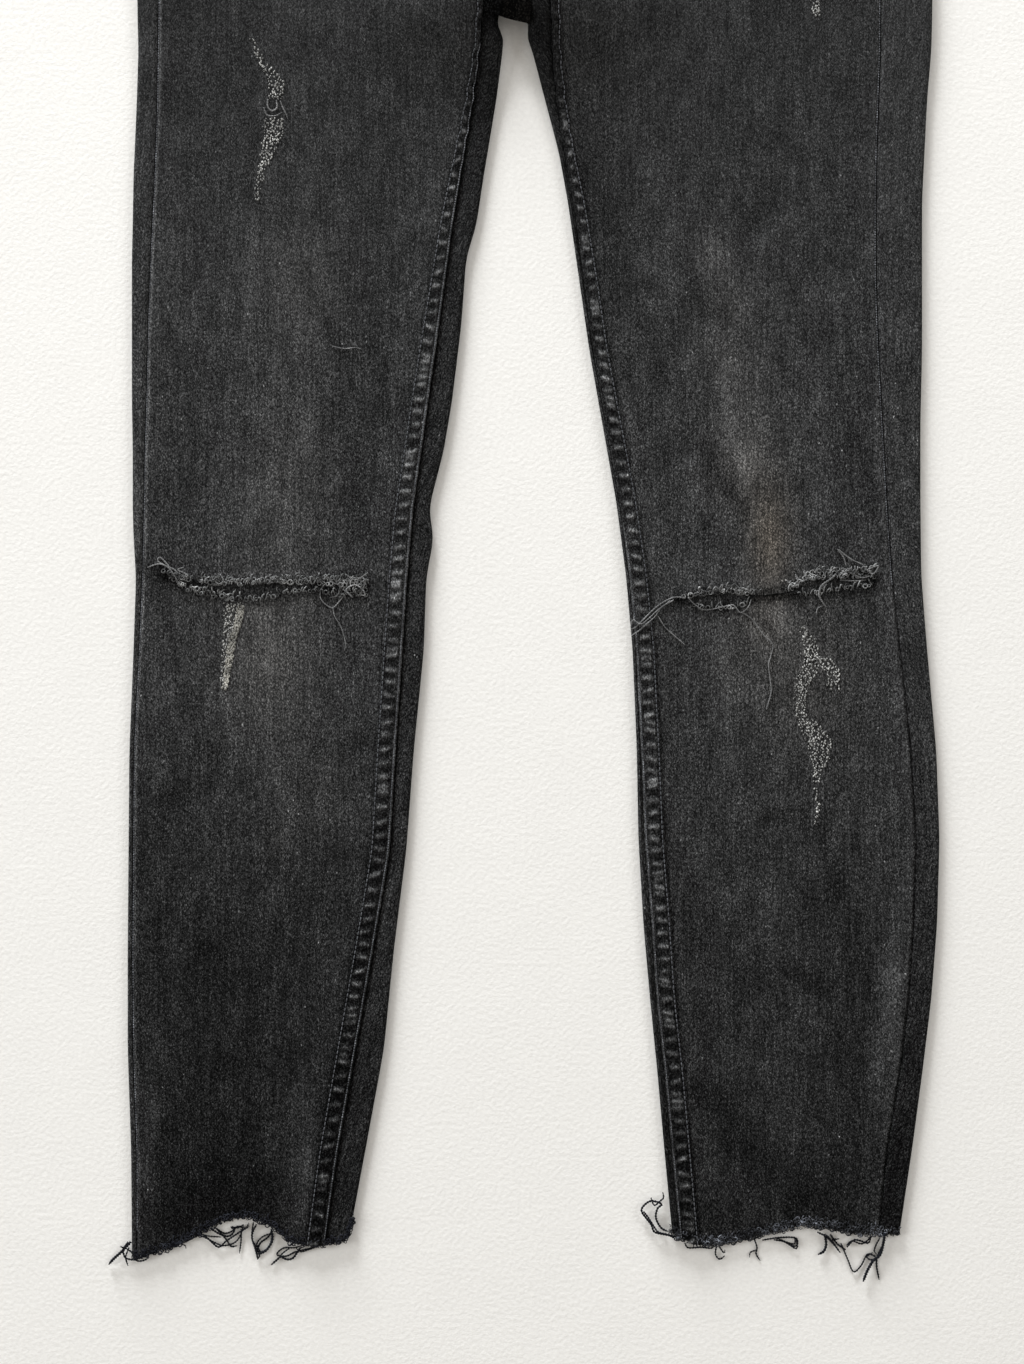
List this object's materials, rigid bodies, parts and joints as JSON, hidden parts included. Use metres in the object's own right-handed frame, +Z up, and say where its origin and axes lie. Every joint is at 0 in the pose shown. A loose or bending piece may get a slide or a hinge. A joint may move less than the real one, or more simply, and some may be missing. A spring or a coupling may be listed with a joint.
{
  "type": "ripped skinny jeans",
  "caption": "Worn skinny jeans laid flat with the front up, slit across both knees and cut off raw at the hems, for clothing displays and dressed interiors.",
  "frame": {"origin": "centre of the garment's box, on the surface that it lies on", "axes": "+X towards the wearer's left, +Y from the hems to the waist, +Z up out of the front"},
  "size_m": [0.488, 1.023, 0.0124],
  "materials": {
    "washed_black_denim": "washed black stretch denim, fine twill, faded along the legs",
    "pocket_facing_denim": "the same denim, less worn",
    "frayed_yarn": "loose grey and black cotton yarn",
    "aged_metal": "dull aged metal",
    "zip_tape": "black woven zip tape"
  },
  "bodies": {
    "root": {"front_right": "washed_black_denim", "front_left": "washed_black_denim", "back_right": "washed_black_denim", "back_left": "washed_black_denim", "yoke_right": "washed_black_denim", "yoke_left": "washed_black_denim", "waistband": "washed_black_denim", "belt_loop_front_right": "washed_black_denim", "belt_loop_front_left": "washed_black_denim", "belt_loop_back_right": "washed_black_denim", "belt_loop_back_left": "washed_black_denim", "belt_loop_back_centre": "washed_black_denim", "back_pocket_right": "washed_black_denim", "back_pocket_left": "washed_black_denim", "pocket_facing_right": "pocket_facing_denim", "pocket_facing_left": "pocket_facing_denim", "fringe_right": "frayed_yarn", "fringe_left": "frayed_yarn", "button": "aged_metal", "zip": "zip_tape"}
  },
  "joints": []
}
